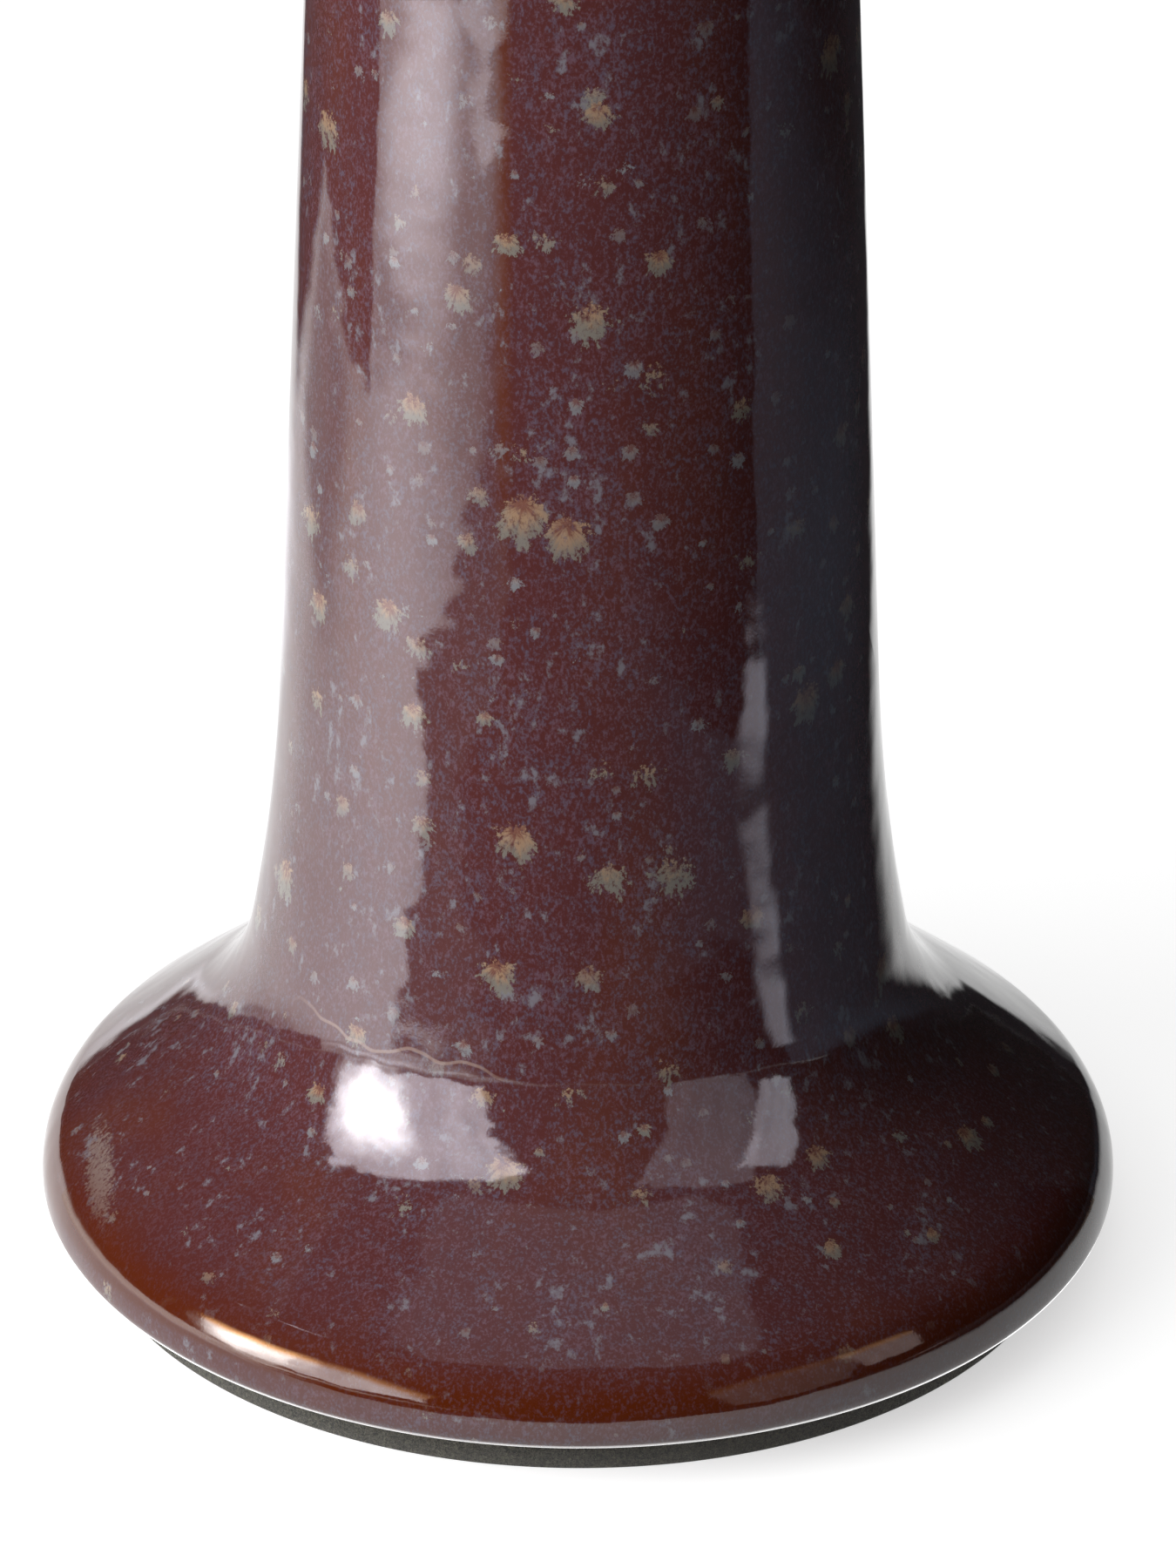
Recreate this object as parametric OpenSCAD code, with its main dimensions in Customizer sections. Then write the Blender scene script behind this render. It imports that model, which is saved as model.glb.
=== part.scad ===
// Stoneware vase: a hollow fired body on a wide domed foot, with a felt pad stuck under it.
// The axis of the vase is Z and the origin lies on the surface that it stands on. Millimetres.

/* [Overall] */
// Height of the vase, from the underside of the felt to the top of the lip
height = 300; // [250:1:360]
// Diameter of the foot at its widest line
foot_d = 130; // [106:1:156]
// Diameter of the mouth, over the outer edge of the lip
mouth_d = 86; // [70:1:104]

/* [Foot] */
// Radius of the rim under its widest line
rim_roll_r = 2.3; // [1.5:0.1:2.8]
// Radius of the rim's shoulder above its widest line
rim_shoulder_r = 9.3; // [8:0.1:11]
// Slope of the foot's top from level, in degrees
foot_slope = 37; // [30:1:42]

/* [Stem] */
// Diameter of the stem where the sweep out of the foot ends
stem_d = 70; // [58:0.5:84]
// Angle of the stem's side from upright, in degrees
stem_taper = 3; // [2:0.1:3.5]
// Radius of the tight lower part of the sweep
sweep_r = 23.5; // [18:0.5:28]
// Radius of the long upper part of the sweep
sweep_upper_r = 215; // [170:5:260]
// Angle of the side from upright where the two parts of the sweep meet, in degrees
sweep_meet = 11.5; // [9:0.5:14]

/* [Mouth] */
// Angle of the flare from upright at the lip, in degrees
mouth_flare = 30; // [22:1:40]

/* [Wall] */
// Thickness of the fired wall
wall = 5; // [4:0.25:6]
// Thickness of the floor inside, above the recess
floor_t = 7; // [5:0.5:9]
// Radius of the corner between the floor and the wall inside
floor_corner_r = 4; // [3:0.5:5]

/* [Foot ring] */
// Set-back of the bare ring that carries the vase from the foot's widest line
ring_inset = 6.5; // [5.5:0.25:12]
// Drop of the ring below the rim
ring_drop = 2; // [1:0.25:4]
// Width of the ring's flat land
ring_land = 14; // [8:1:20]
// Depth of the recess trimmed inside the ring
recess_depth = 1; // [0.5:0.25:2]
// Radius of the ring's outer edge
ring_edge_r = 0.6; // [0.2:0.1:0.9]

/* [Felt pad] */
// Thickness of the felt
pad_t = 3; // [2:0.25:5]
// Reach of the felt past the ring
pad_reach = 1.25; // [0:0.25:2]
// Thickness of the adhesive film between the felt and the ring
film_t = 0.2; // [0.1:0.05:0.5]

/* [Hidden] */
turn_fn = 180;

// Radii, and heights from the surface up
foot_r = foot_d / 2;
stem_r = stem_d / 2;
ring_r = foot_r - ring_inset;
pad_r = ring_r + pad_reach;
lip_r = wall / 2;
ring_z = pad_t + film_t;
recess_z = ring_z + recess_depth;
floor_z = recess_z + floor_t;
skirt_z = ring_z + ring_drop;
rim_z = skirt_z + rim_roll_r;

// The outline is a chain of tangent stretches, each with a heading: the angle of travel along
// it, where 0 is outwards, 90 is up and 180 is inwards.
top_heading = 180 - foot_slope;
meet_heading = 90 + sweep_meet;
side_heading = 90 + stem_taper;
lip_heading = 90 - mouth_flare;

// Unit step to the left of a heading, which is from the outer face into the wall
function left_of(heading) = [-sin(heading), cos(heading)];

// Step from the start to the end of a turn: to the left for a radius above 0, else to the right
function turn_step(from, to, radius) = radius * (left_of(from) - left_of(to));

// Points of such a turn, its start included
function turn(start, from, to, radius, steps) =
    [for (i = [0:steps]) start + turn_step(from, from + (to - from) * i / steps, radius)];

function reversed(points) = [for (i = [len(points) - 1:-1:0]) points[i]];

// From the widest line up: shoulder, straight slope, tight sweep, long sweep, straight stem. The
// slope takes what the turns leave between the foot and the stem.
rim_start = [foot_r, rim_z];
shoulder_end = rim_start + turn_step(90, top_heading, rim_shoulder_r);
sweep_step = turn_step(top_heading, meet_heading, -sweep_r);
sweep_upper_step = turn_step(meet_heading, side_heading, -sweep_upper_r);
slope_run = shoulder_end.x + sweep_step.x + sweep_upper_step.x - stem_r;
slope_end = shoulder_end + [-slope_run, slope_run * tan(foot_slope)];
sweep_end = slope_end + sweep_step;
stem_start = sweep_end + sweep_upper_step;

// The lip is a half round on the wall, so the outer face ends a little below it
flare_end = [
    mouth_d / 2 - lip_r * (1 - cos(mouth_flare)),
    height - lip_r * (1 + sin(mouth_flare))
];

// Radius of the flare that leaves the stem's side and reaches the lip, each at its own angle
flare_unit = turn_step(side_heading, lip_heading, -1);
flare_gap = flare_end - stem_start;
flare_r = (flare_gap.x + flare_gap.y * tan(stem_taper))
    / (flare_unit.x + flare_unit.y * tan(stem_taper));
stem_end = flare_end - flare_r * flare_unit;

// Corner between the floor and the wall inside: it touches the floor, and either the straight
// underside of the foot's top or, on a narrow foot, the tight sweep
corner_z = floor_z + floor_corner_r;
sweep_centre = slope_end - sweep_r * left_of(top_heading);
corner_reach = sweep_r + wall + floor_corner_r;
corner_on_sweep = acos((corner_z - sweep_centre.y) / corner_reach);
corner_heading = min(top_heading, corner_on_sweep);
corner_past = max(0, sweep_centre.y + corner_reach * cos(top_heading) - corner_z);
corner_x = sweep_centre.x - corner_reach * sin(corner_heading) + corner_past / tan(foot_slope);

function underside() = concat(
    [[0, recess_z], [ring_r - ring_land, recess_z], [ring_r - ring_land, ring_z]],
    turn([ring_r - ring_edge_r, ring_z], 0, 90, ring_edge_r, 6),
    [[ring_r, skirt_z]],
    turn([foot_r - rim_roll_r, skirt_z], 0, 90, rim_roll_r, 12)
);

// Sweep, stem and flare, on the outer face or at a depth inside the wall
function upper_side(depth, heading) = concat(
    turn(sweep_centre + (sweep_r + depth) * left_of(heading),
        heading, meet_heading, -sweep_r - depth, 12),
    turn(sweep_end + depth * left_of(meet_heading),
        meet_heading, side_heading, -sweep_upper_r - depth, 8),
    turn(stem_end + depth * left_of(side_heading),
        side_heading, lip_heading, -flare_r - depth, 16)
);

function outside() = concat(
    turn(rim_start, 90, top_heading, rim_shoulder_r, 12),
    upper_side(0, top_heading)
);

function lip() = turn(flare_end, lip_heading, lip_heading + 180, lip_r, 16);

function inside() = concat(
    [[0, floor_z]],
    turn([corner_x, floor_z], 0, corner_heading, floor_corner_r, 10),
    upper_side(wall, corner_heading)
);

// Fired clay under its glaze: foot, stem and mouth are one piece
module stoneware_body() {
    color("#4b2423")
    rotate_extrude($fn = turn_fn)
    polygon(concat(underside(), outside(), lip(), reversed(inside())));
}

// Film of pressure-sensitive adhesive, cut together with the felt
module pad_adhesive() {
    color("#b9ad92")
    translate([0, 0, pad_t])
    cylinder(r = pad_r, h = film_t, $fn = turn_fn);
}

// Disc of dense wool felt that the vase stands on
module felt_pad() {
    color("#2a2b25")
    cylinder(r = pad_r, h = pad_t, $fn = turn_fn);
}

stoneware_body();
pad_adhesive();
felt_pad();
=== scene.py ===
# %% [markdown]
# # A glazed stoneware vase
# The real vase was thrown on a potter's wheel as one hollow body with a wide domed foot, dipped
# in a dark red glaze and fired. Afterwards a disc of wool felt was stuck under the foot. The CAD
# model gives every size. This lesson builds the pieces that the eye sees, gives each of them a
# surface made from nodes, and sets up a small studio round them.

# %% Load the CAD frame
import math

import bpy
from mathutils import Matrix, Vector


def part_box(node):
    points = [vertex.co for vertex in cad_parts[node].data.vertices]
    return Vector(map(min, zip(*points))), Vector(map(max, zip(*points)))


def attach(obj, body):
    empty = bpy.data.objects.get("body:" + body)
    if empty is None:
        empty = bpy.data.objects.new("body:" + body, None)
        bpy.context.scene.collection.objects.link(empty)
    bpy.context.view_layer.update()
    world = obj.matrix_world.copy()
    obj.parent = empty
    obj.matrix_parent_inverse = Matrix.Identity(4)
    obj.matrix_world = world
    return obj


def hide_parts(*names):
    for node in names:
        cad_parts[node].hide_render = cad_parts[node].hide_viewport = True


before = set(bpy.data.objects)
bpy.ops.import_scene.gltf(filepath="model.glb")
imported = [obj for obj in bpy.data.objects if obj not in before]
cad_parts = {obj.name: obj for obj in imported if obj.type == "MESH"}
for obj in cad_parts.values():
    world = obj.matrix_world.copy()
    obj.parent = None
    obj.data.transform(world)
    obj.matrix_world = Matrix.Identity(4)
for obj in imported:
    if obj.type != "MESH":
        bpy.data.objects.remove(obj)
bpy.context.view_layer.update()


# %% [markdown]
# ## Sizes
# Lengths are written in millimetres, as a potter would measure them, and one factor turns them
# into Blender's metres. What the CAD model already knows is read from its boxes: the width and
# height of the body, the felt's radius, and the level where the clay starts.

# %% Millimetres and the sizes that the CAD model gives
MM = 0.001

body_low, body_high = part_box("stoneware_body")
felt_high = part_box("felt_pad")[1]
film_low, film_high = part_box("pad_adhesive")

foot_radius = body_high.x / MM
height = body_high.z / MM
ring_level = body_low.z / MM
felt_radius = felt_high.x / MM
felt_thickness = felt_high.z / MM
print("foot radius", foot_radius, "height", height, "felt radius", felt_radius)

# %% [markdown]
# ## The camera
# A long lens from a little above, so that the foot is an open ellipse and the top of the stem
# runs out of the picture. It is set first, because it decides what has to look right from close.
# The camera stands at a distance, turns up or down by its elevation, and leans by a hair.

# %% Camera
distance = 650
elevation = math.radians(26.3)
lean = math.radians(0.25)
aim = Vector((1.03, 0, 56.7))

camera_data = bpy.data.cameras.new("studio_camera")
camera_data.lens = 126.6
camera_data.sensor_width = 36
camera_data.clip_start = 0.01
camera_data.clip_end = 50
camera = bpy.data.objects.new("studio_camera", camera_data)
bpy.context.scene.collection.objects.link(camera)
back = Vector((0, -math.cos(elevation), math.sin(elevation)))
camera.matrix_world = (
    Matrix.Translation((aim + distance * back) * MM)
    @ Matrix.Rotation(math.radians(90) - elevation, 4, "X")
    @ Matrix.Rotation(lean, 4, "Z")
)
bpy.context.scene.camera = camera
print("camera at", tuple(round(number / MM, 1) for number in camera.location))

# %% [markdown]
# ## The outline of the body
# A thrown pot is a solid of revolution, so half of its section is all that has to be drawn. The
# outline is a chain of stretches that run into each other without a corner: the rolled rim, its
# shoulder, the straight slope, the sweep up into the stem, the stem, the flare and the lip, and
# then the same way back down inside, one wall further in. Each curved stretch is an arc, and an
# arc is known from the heading where it starts, the heading where it ends and its radius. A
# heading of 0 goes outwards, 90 goes up and 180 goes inwards.

# %% Sizes of the section, in millimetres and degrees
rim_roll_radius = 2.3
shoulder_radius = 9.3
foot_slope = 37
stem_radius = 35
stem_taper = 3
sweep_radius = 23.5
upper_sweep_radius = 215
sweep_meet = 11.5
mouth_radius = 43
mouth_flare = 30
wall = 5
floor_thickness = 7
floor_corner_radius = 4
ring_radius = foot_radius - 6.5
ring_land = 14
ring_drop = 2
ring_edge_radius = 0.6
recess_depth = 1

# %% Headings and arcs


def left_of(heading):
    turned = math.radians(heading)
    return Vector((-math.sin(turned), math.cos(turned)))


def arc_step(start, end, radius):
    return radius * (left_of(start) - left_of(end))


def arc(origin, start, end, radius, steps):
    return [
        origin + arc_step(start, start + (end - start) * step / steps, radius)
        for step in range(steps + 1)
    ]


def straight(origin, end, steps):
    return [origin.lerp(end, step / steps) for step in range(steps + 1)]


# %% Where the stretches of the outer face meet
top_heading = 180 - foot_slope
meet_heading = 90 + sweep_meet
side_heading = 90 + stem_taper
lip_heading = 90 - mouth_flare

recess_level = ring_level + recess_depth
floor_level = recess_level + floor_thickness
skirt_level = ring_level + ring_drop
rim_start = Vector((foot_radius, skirt_level + rim_roll_radius))
shoulder_end = rim_start + arc_step(90, top_heading, shoulder_radius)
sweep_step = arc_step(top_heading, meet_heading, -sweep_radius)
upper_sweep_step = arc_step(meet_heading, side_heading, -upper_sweep_radius)
slope_run = shoulder_end.x + sweep_step.x + upper_sweep_step.x - stem_radius
slope_rise = slope_run * math.tan(math.radians(foot_slope))
slope_end = shoulder_end + Vector((-slope_run, slope_rise))
sweep_end = slope_end + sweep_step
stem_start = sweep_end + upper_sweep_step

lip_radius = wall / 2
flare_angle = math.radians(mouth_flare)
taper = math.tan(math.radians(stem_taper))
flare_end = Vector((
    mouth_radius - lip_radius * (1 - math.cos(flare_angle)),
    height - lip_radius * (1 + math.sin(flare_angle)),
))
flare_unit = arc_step(side_heading, lip_heading, -1)
flare_gap = flare_end - stem_start
flare_radius = (flare_gap.x + flare_gap.y * taper) / (flare_unit.x + flare_unit.y * taper)
stem_end = flare_end - flare_radius * flare_unit
print("stem from", round(stem_start.y, 1), "to", round(stem_end.y, 1), "mm up")

# %% Where the inner face leaves the floor
corner_level = floor_level + floor_corner_radius
sweep_centre = slope_end - sweep_radius * left_of(top_heading)
corner_reach = sweep_radius + wall + floor_corner_radius
slope_angle = math.radians(foot_slope)
corner_past = sweep_centre.y + corner_reach * math.cos(math.radians(top_heading)) - corner_level
corner_x = (
    sweep_centre.x
    - corner_reach * math.sin(math.radians(top_heading))
    + corner_past / math.tan(slope_angle)
)

# %% The whole outline, from the middle of the underside to the middle of the floor inside


def upper_side(depth):
    sweep_from = sweep_centre + (sweep_radius + depth) * left_of(top_heading)
    upper_from = sweep_end + depth * left_of(meet_heading)
    stem_from = stem_start + depth * left_of(side_heading)
    flare_from = stem_end + depth * left_of(side_heading)
    return [
        *arc(sweep_from, top_heading, meet_heading, -sweep_radius - depth, 22),
        *arc(upper_from, meet_heading, side_heading, -upper_sweep_radius - depth, 12),
        *straight(stem_from, flare_from, 24),
        *arc(flare_from, side_heading, lip_heading, -flare_radius - depth, 22),
    ]


underside = [
    *straight(Vector((0, recess_level)), Vector((ring_radius - ring_land, recess_level)), 5),
    *straight(
        Vector((ring_radius - ring_land, ring_level)),
        Vector((ring_radius - ring_edge_radius, ring_level)),
        3,
    ),
    *arc(Vector((ring_radius - ring_edge_radius, ring_level)), 0, 90, ring_edge_radius, 5),
    Vector((ring_radius, skirt_level)),
    *arc(Vector((foot_radius - rim_roll_radius, skirt_level)), 0, 90, rim_roll_radius, 12),
]
outer_face = [
    *arc(rim_start, 90, top_heading, shoulder_radius, 18),
    *straight(shoulder_end, slope_end, 6),
    *upper_side(0),
]
lip = arc(flare_end, lip_heading, lip_heading + 180, lip_radius, 16)
corner_from = Vector((corner_x, floor_level))
inner_corner = arc(corner_from, 0, top_heading, floor_corner_radius, 10)
inner_face = [
    *straight(Vector((0, floor_level)), corner_from, 6),
    *inner_corner,
    *straight(inner_corner[-1], sweep_centre + (sweep_radius + wall) * left_of(top_heading), 3),
    *upper_side(wall),
]


same_point = 0.01


def without_repeats(points):
    kept = [points[0]]
    for point in points[1:]:
        if (point - kept[-1]).length > same_point:
            kept.append(point)
    return kept


outline = without_repeats([*underside, *outer_face, *lip, *reversed(inner_face)])
print("points on the outline:", len(outline))

# %% [markdown]
# ## The body, spun like a pot on the wheel
# By hand you would place one vertex on the axis and extrude it from point to point along the
# section with E, and then use Spin with the whole chain selected. The code does the same: the
# vertex comes from a plane whose four corners are merged, each extrude moves the new vertex by
# one step of the outline, and Spin turns the chain once round the Z axis. The seam and the two
# poles are closed by merging doubles, and only then are the normals made to point outwards.

# %% Draw the section


def pick_nothing():
    if bpy.context.mode == "EDIT_MESH":
        bpy.ops.object.mode_set(mode="OBJECT")
    bpy.ops.object.select_all(action="DESELECT")


pick_nothing()
bpy.ops.mesh.primitive_plane_add(size=MM, location=(0, 0, outline[0].y * MM))
body = bpy.context.object
body.name = "glazed_body"
bpy.ops.object.transform_apply(location=True, rotation=True, scale=True)
bpy.ops.object.mode_set(mode="EDIT")
bpy.ops.mesh.select_all(action="SELECT")
bpy.ops.mesh.merge(type="CENTER")
for here, there in zip(outline, outline[1:]):
    step = (there - here) * MM
    bpy.ops.mesh.extrude_vertices_move(TRANSFORM_OT_translate={"value": (step.x, 0, step.y)})

# %% Spin it
spin_steps = 224
weld_distance = 0.02

bpy.ops.mesh.select_all(action="SELECT")
bpy.ops.mesh.spin(
    steps=spin_steps, angle=math.radians(360), center=(0, 0, 0), axis=(0, 0, 1)
)
bpy.ops.mesh.select_all(action="SELECT")
bpy.ops.mesh.remove_doubles(threshold=weld_distance * MM)
bpy.ops.mesh.select_all(action="SELECT")
bpy.ops.mesh.normals_make_consistent(inside=False)
bpy.ops.object.mode_set(mode="OBJECT")
bpy.ops.object.shade_smooth_by_angle(angle=math.radians(40))
print("body faces:", len(body.data.polygons))

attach(body, "root")
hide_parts("stoneware_body")

# %% [markdown]
# ## Colours and nodes
# A hex colour is written for a screen, and a shader works with light, so one function turns the
# first into the second. Another small function adds a node, sets what it is given and links its
# inputs. Every material below is built from that one. The patterns read Object coordinates, which
# stay with a piece when it moves. They are turned into millimetres first, so that one divided by
# the size of a grain, on a ruler, is the scale of its pattern.

# %% Helpers for materials


def paint(code):
    channels = [int(code[place:place + 2], 16) / 255 for place in (1, 3, 5)]
    light = [c / 12.92 if c <= 0.04045 else ((c + 0.055) / 1.055) ** 2.4 for c in channels]
    return (*light, 1)


def node(tree, kind, settings=None, values=None, links=None):
    made = tree.nodes.new(kind)
    for name, value in (settings or {}).items():
        setattr(made, name, value)
    for name, value in (values or {}).items():
        made.inputs[name].default_value = value
    for name, source in (links or {}).items():
        tree.links.new(source, made.inputs[name])
    return made


def empty_material(name):
    material = bpy.data.materials.new(name)
    material.use_nodes = True
    material.node_tree.nodes.clear()
    return material


def place_in_mm(tree):
    place = node(tree, "ShaderNodeTexCoord")
    return node(tree, "ShaderNodeVectorMath", {"operation": "SCALE"}, {"Scale": 1 / MM},
                {0: place.outputs["Object"]}).outputs["Vector"]


# Settings that many nodes share: a ramp with soft ends, and a mix of two colours
SMOOTH = {"interpolation_type": "SMOOTHSTEP"}
COLOURS = {"data_type": "RGBA"}

# %% [markdown]
# ## Glazed stoneware
# The glaze is a thick layer of coloured glass over the clay. Its red comes from iron and copper,
# and while it was molten it ran downwards and separated: a fine blue-violet haze floats in it,
# and cream spots grew where crystals formed, ragged on their lower side. Where the glass is thin,
# on the edge of the foot and on the lip, the warm clay shows through as amber.

# %% The glaze: places, normals and the way down the slope
glaze = empty_material("glazed_stoneware_fired_oxblood")
tree = glaze.node_tree
in_mm = place_in_mm(tree)
face = node(tree, "ShaderNodeNewGeometry").outputs["Normal"]
split_face = node(tree, "ShaderNodeSeparateXYZ", links={0: face})
# Straight down, without the part of it that points into the surface, is down the slope
lift = node(tree, "ShaderNodeVectorMath", {"operation": "SCALE"},
            links={0: face, "Scale": split_face.outputs["Z"]}).outputs["Vector"]
fall = node(tree, "ShaderNodeVectorMath", {"operation": "ADD"}, {1: (0, 0, -1)}, {0: lift})
downhill = node(tree, "ShaderNodeVectorMath", {"operation": "NORMALIZE"},
                links={0: fall.outputs["Vector"]}).outputs["Vector"]
split_place = node(tree, "ShaderNodeSeparateXYZ", links={0: in_mm})
level = split_place.outputs["Z"]
flat_place = node(tree, "ShaderNodeVectorMath", {"operation": "MULTIPLY"}, {1: (1, 1, 0)},
                  {0: in_mm}).outputs["Vector"]
radius = node(tree, "ShaderNodeVectorMath", {"operation": "LENGTH"},
              links={0: flat_place}).outputs["Value"]

# %% [markdown]
# The haze is made of droplets too fine to draw one by one, so it is a sum of three noises: small
# clumps, a grain inside them, and wide clouds where it lies thicker or thinner. The places are
# squeezed along Z before the noises read them, which draws every clump out the way the glaze ran.
# A fourth noise lets the haze turn from violet to blue.

# %% The haze, with its sizes in millimetres
clump_size = 0.6
grain_size = 0.3
cloud_size = 9
hue_size = 2.2
clump_weight = 1.7
cloud_weight = 0.35

drawn_down = node(tree, "ShaderNodeVectorMath", {"operation": "MULTIPLY"}, {1: (1, 1, 0.7)},
                  {0: in_mm}).outputs["Vector"]
haze_clump = node(tree, "ShaderNodeTexNoise", {},
                  {"Scale": 1 / clump_size, "Detail": 3, "Roughness": 0.65},
                  {"Vector": drawn_down}).outputs["Fac"]
haze_grain = node(tree, "ShaderNodeTexNoise", {},
                  {"Scale": 1 / grain_size, "Detail": 2, "Roughness": 0.6},
                  {"Vector": drawn_down}).outputs["Fac"]
haze_cloud = node(tree, "ShaderNodeTexNoise", {},
                  {"Scale": 1 / cloud_size, "Detail": 2},
                  {"Vector": drawn_down}).outputs["Fac"]
haze_fine = node(tree, "ShaderNodeMath", {"operation": "MULTIPLY_ADD"}, {1: clump_weight},
                 {0: haze_clump, 2: haze_grain}).outputs[0]
haze_sum = node(tree, "ShaderNodeMath", {"operation": "MULTIPLY_ADD"}, {1: cloud_weight},
                {0: haze_cloud, 2: haze_fine}).outputs[0]
haze = node(tree, "ShaderNodeMapRange", SMOOTH,
            {"From Min": 1.34, "From Max": 2.05, "To Min": 0.05, "To Max": 0.6},
            {"Value": haze_sum}).outputs[0]
hue_noise = node(tree, "ShaderNodeTexNoise", {},
                 {"Scale": 1 / hue_size, "Detail": 3},
                 {"Vector": drawn_down}).outputs["Fac"]
hue_share = node(tree, "ShaderNodeMapRange", {}, {"From Min": 0.38, "From Max": 0.62},
                 {"Value": hue_noise}).outputs[0]
haze_colour = node(tree, "ShaderNodeMix", COLOURS,
                   {6: paint("#7f6676"), 7: paint("#706e84")}, {0: hue_share}).outputs[2]

# %% [markdown]
# Under the haze is the red glass itself. It is browner in long soft runs where it is thinner, and
# these come from one noise that is squeezed hard along Z. One narrow run on the stem and the low
# part of one side stayed clearer than the rest, so the haze is taken back there.

# %% The red glass and its runs
run_width = 13
run_squeeze = 0.22
clear_run_x = -8.3

run_place = node(tree, "ShaderNodeVectorMath", {"operation": "MULTIPLY"},
                 {1: (1, 1, run_squeeze)}, {0: in_mm}).outputs["Vector"]
run_noise = node(tree, "ShaderNodeTexNoise", {},
                 {"Scale": 1 / run_width, "Detail": 3},
                 {"Vector": run_place}).outputs["Fac"]
run_share = node(tree, "ShaderNodeMapRange", SMOOTH,
                 {"From Min": 0.45, "From Max": 0.8, "To Max": 0.6}, {"Value": run_noise}).outputs[0]
# The narrow clear run, on the front half of the stem only
run_off = node(tree, "ShaderNodeMath", {"operation": "SUBTRACT"}, {1: clear_run_x},
               {0: split_place.outputs["X"]}).outputs[0]
run_wide = node(tree, "ShaderNodeMath", {"operation": "ABSOLUTE"}, links={0: run_off}).outputs[0]
run_near = node(tree, "ShaderNodeMapRange", SMOOTH,
                {"From Min": 1.5, "From Max": 0.1}, {"Value": run_wide}).outputs[0]
run_front = node(tree, "ShaderNodeMath", {"operation": "LESS_THAN"}, {1: 0},
                 {0: split_place.outputs["Y"]}).outputs[0]
run_high = node(tree, "ShaderNodeMapRange", SMOOTH,
                {"From Min": 85, "From Max": 120, "To Max": 0.75}, {"Value": level}).outputs[0]
run_there = node(tree, "ShaderNodeMath", {"operation": "MULTIPLY"},
                 links={0: run_near, 1: run_front}).outputs[0]
run_clear = node(tree, "ShaderNodeMath", {"operation": "MULTIPLY"},
                 links={0: run_there, 1: run_high}).outputs[0]
runs = node(tree, "ShaderNodeMath", {"operation": "MAXIMUM"},
            links={0: run_share, 1: run_clear}).outputs[0]
red_glass = node(tree, "ShaderNodeMix", COLOURS,
                 {6: paint("#5f2f2c"), 7: paint("#6c3722")}, {0: runs}).outputs[2]

# %% The haze over the red glass
run_clears = 0.75

haze_left = node(tree, "ShaderNodeMath", {"operation": "MULTIPLY_ADD"}, {1: -run_clears, 2: 1},
                 {0: run_clear}).outputs[0]
haze_stem = node(tree, "ShaderNodeMath", {"operation": "MULTIPLY"},
                 links={0: haze, 1: haze_left}).outputs[0]
# Low on one side of the foot the glass is clearer
clear_side = node(tree, "ShaderNodeMapRange", SMOOTH,
                  {"From Min": -18, "From Max": -46, "To Max": 0.5},
                  {"Value": split_place.outputs["X"]}).outputs[0]
clear_low = node(tree, "ShaderNodeMapRange", SMOOTH,
                 {"From Min": 30, "From Max": 20}, {"Value": level}).outputs[0]
clearer = node(tree, "ShaderNodeMath", {"operation": "MULTIPLY"},
               links={0: clear_side, 1: clear_low}).outputs[0]
haze_kept = node(tree, "ShaderNodeMath", {"operation": "SUBTRACT"}, {0: 1},
                 {1: clearer}).outputs[0]
haze_seen = node(tree, "ShaderNodeMath", {"operation": "MULTIPLY"},
                 links={0: haze_stem, 1: haze_kept}).outputs[0]
hazed = node(tree, "ShaderNodeMix", COLOURS,
             links={0: haze_seen, 6: red_glass, 7: haze_colour}).outputs[2]

# %% [markdown]
# Between the haze and the spots lie pale flecks with torn outlines. They could be scattered one
# by one, but the highest places of a rough noise already look like that, each with its own shape.

# %% Pale flecks
fleck_size = 2
fleck_shift = (31, 17, 5)

fleck_place = node(tree, "ShaderNodeVectorMath", {"operation": "ADD"}, {1: fleck_shift},
                   {0: drawn_down}).outputs["Vector"]
fleck_noise = node(tree, "ShaderNodeTexNoise", {},
                   {"Scale": 1 / fleck_size, "Detail": 5, "Roughness": 0.68},
                   {"Vector": fleck_place}).outputs["Fac"]
fleck_high = node(tree, "ShaderNodeMath", {"operation": "MULTIPLY_ADD"}, {1: 0.3},
                  {0: haze_cloud, 2: fleck_noise}).outputs[0]
fleck_share = node(tree, "ShaderNodeMapRange", SMOOTH,
                   {"From Min": 0.735, "From Max": 0.86, "To Max": 0.8},
                   {"Value": fleck_high}).outputs[0]
flecked = node(tree, "ShaderNodeMix", COLOURS, {7: paint("#8a8790")},
               {0: fleck_share, 6: hazed}).outputs[2]

# %% [markdown]
# The spots are cells of a Voronoi pattern in space. Each cell has a centre, and the step from the
# centre to the surface tells how far out a point of the glaze is. The cell's random colour decides
# whether it holds a spot and how big. Crystals grew from a point near the top of each spot and
# fanned out downhill, so a second step is measured from there: a noise that is read by the
# direction of that step alone gives rays, and these tear the lower edge and streak the inside.

# %% What all the spots share: a grain, and smaller spots low on the foot
spot_grain_size = 0.5

spot_grain = node(tree, "ShaderNodeTexNoise", {},
                  {"Scale": 1 / spot_grain_size, "Detail": 4, "Roughness": 0.7},
                  {"Vector": drawn_down}).outputs["Fac"]
on_stem = node(tree, "ShaderNodeMapRange", SMOOTH,
               {"From Min": 16, "From Max": 42, "To Min": 0.6}, {"Value": level}).outputs[0]

# %% One layer of spots
fan_rise = 0.6
ray_count = 3
ray_middle = 0.46
grain_tears = 1.6
# Each cell reads its rays from another part of the noise, so that no two spots are alike
cell_spacing = 40


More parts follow.
